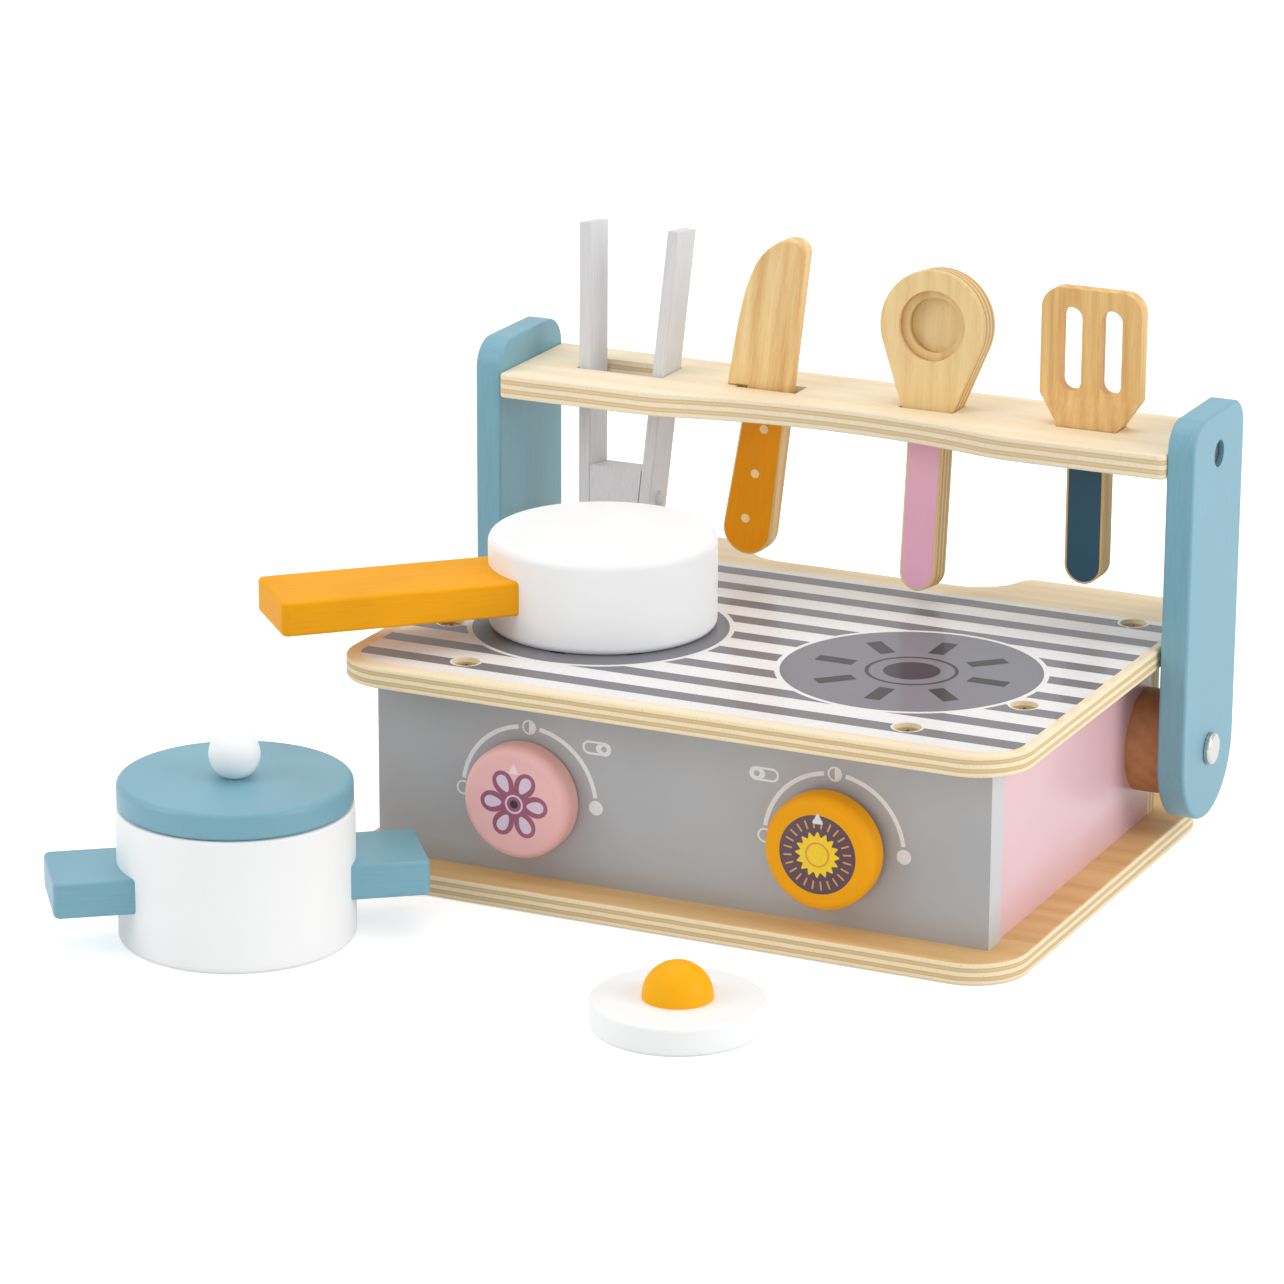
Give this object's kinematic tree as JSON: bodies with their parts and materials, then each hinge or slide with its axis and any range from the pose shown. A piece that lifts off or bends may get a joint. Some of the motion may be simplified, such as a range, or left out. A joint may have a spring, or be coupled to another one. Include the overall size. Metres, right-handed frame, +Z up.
{
  "type": "toy camping stove",
  "caption": "Wooden toy camping stove with a striped hob, turning knobs and a fold-back utensil shelf, with a pan, a lidded pot, a fried egg, tongs, knife, spoon and spatula.",
  "frame": {"origin": "centre of the base plate's underside, on the surface that the stove stands on", "axes": "+Z up, +X to the right as seen from the knobs' side, +Y from the knobs' side to the back"},
  "size_m": [0.3755, 0.3536, 0.2345],
  "materials": {
    "plywood": "clear satin varnish over pale birch plywood, with its plies showing at the edges",
    "paint_grey": "smooth satin grey paint",
    "paint_pink": "smooth satin pink paint",
    "paint_blue": "satin blue paint with the grain just showing",
    "paint_white": "smooth white lacquer",
    "paint_orange": "satin orange paint",
    "paint_rose": "satin light pink paint",
    "paint_silver": "satin pale grey paint",
    "spacer_wood": "bare brown wood",
    "utensil_wood": "clear satin varnish",
    "steel": "nickel plated, satin",
    "dowel_wood": "bare turned wood"
  },
  "bodies": {
    "stove_box": {"base_plate": "plywood", "top_plate": "plywood", "front_panel": "paint_grey", "back_panel": "plywood", "left_panel": "paint_pink", "right_panel": "paint_pink", "base_screw_1": "steel", "base_screw_2": "steel", "base_screw_3": "steel", "base_screw_4": "steel", "base_screw_5": "steel", "base_screw_6": "steel", "top_screw_1": "steel", "top_screw_2": "steel", "top_screw_3": "steel", "top_screw_4": "steel", "top_screw_5": "steel", "top_screw_6": "steel", "left_pivot_bolt": "steel", "right_pivot_bolt": "steel", "left_pivot_nut": "steel", "right_pivot_nut": "steel", "left_spacer": "spacer_wood", "right_spacer": "spacer_wood"},
    "utensil_frame": {"left_arm": "paint_blue", "right_arm": "paint_blue", "shelf": "plywood", "left_shelf_screw": "steel", "right_shelf_screw": "steel"},
    "left_knob_body": {"left_knob": "paint_rose", "left_knob_axle": "dowel_wood", "left_knob_retainer": "dowel_wood"},
    "right_knob_body": {"right_knob": "paint_orange", "right_knob_axle": "dowel_wood", "right_knob_retainer": "dowel_wood"},
    "pan": {"pan_body": "paint_white", "pan_handle": "paint_orange", "pan_dowel": "dowel_wood"},
    "pot": {"pot_body": "paint_white", "pot_left_handle": "paint_blue", "pot_right_handle": "paint_blue", "pot_left_dowel": "dowel_wood", "pot_right_dowel": "dowel_wood"},
    "lid": {"pot_lid": "paint_blue", "lid_ball": "paint_white", "lid_dowel": "dowel_wood"},
    "egg": {"egg_white": "paint_white", "egg_yolk": "paint_orange"},
    "tongs": {"tongs_block": "paint_silver"},
    "tongs_left": {"tongs_left_leg": "paint_silver", "tongs_left_pin": "steel"},
    "tongs_right": {"tongs_right_leg": "paint_silver", "tongs_right_pin": "steel"},
    "knife_body": {"knife": "utensil_wood"},
    "spoon_body": {"spoon": "utensil_wood"},
    "spatula_body": {"spatula": "utensil_wood"}
  },
  "joints": [
    {"name": "frame_fold", "type": "hinge", "parent": "stove_box", "child": "utensil_frame", "pos_m": [0, 0.0715, 0.044], "axis": [-1, 0, 0], "range_deg": [0, 90]},
    {"name": "left_knob_turn", "type": "hinge", "parent": "stove_box", "child": "left_knob_body", "pos_m": [-0.065, -0.0957, 0.0415], "axis": [0, 1, 0], "continuous": true},
    {"name": "right_knob_turn", "type": "hinge", "parent": "stove_box", "child": "right_knob_body", "pos_m": [0.065, -0.0957, 0.0415], "axis": [0, 1, 0], "continuous": true},
    {"name": "pan_lift", "type": "slide", "parent": "stove_box", "child": "pan", "axis": [0, 0, 1], "range_m": [0, 0.06]},
    {"name": "pot_lift", "type": "slide", "parent": "stove_box", "child": "pot", "axis": [0, 0, 1], "range_m": [0, 0.06]},
    {"name": "lid_lift", "type": "slide", "parent": "pot", "child": "lid", "axis": [0, 0, 1], "range_m": [0, 0.04]},
    {"name": "egg_lift", "type": "slide", "parent": "stove_box", "child": "egg", "axis": [0, 0, 1], "range_m": [0, 0.06]},
    {"name": "tongs_draw", "type": "slide", "parent": "utensil_frame", "child": "tongs", "axis": [0, 0.1219, 0.9925], "range_m": [0, 0.075]},
    {"name": "tongs_left_squeeze", "type": "hinge", "parent": "tongs", "child": "tongs_left", "pos_m": [-0.1138, 0.06939, 0.13057], "axis": [0, 0.9925, -0.1219], "range_deg": [0, 3], "stiffness_Nm_per_rad": 2},
    {"name": "tongs_right_squeeze", "type": "hinge", "parent": "tongs", "child": "tongs_right", "pos_m": [-0.09, 0.06939, 0.13057], "axis": [0, -0.9925, 0.1219], "range_deg": [0, 3], "stiffness_Nm_per_rad": 2},
    {"name": "knife_draw", "type": "slide", "parent": "utensil_frame", "child": "knife_body", "axis": [0.1132, 0, 0.9936], "range_m": [0, 0.08]},
    {"name": "spoon_draw", "type": "slide", "parent": "utensil_frame", "child": "spoon_body", "axis": [0, 0.108, 0.9942], "range_m": [0, 0.085]},
    {"name": "spatula_draw", "type": "slide", "parent": "utensil_frame", "child": "spatula_body", "axis": [0, 0, 1], "range_m": [0, 0.075]}
  ]
}
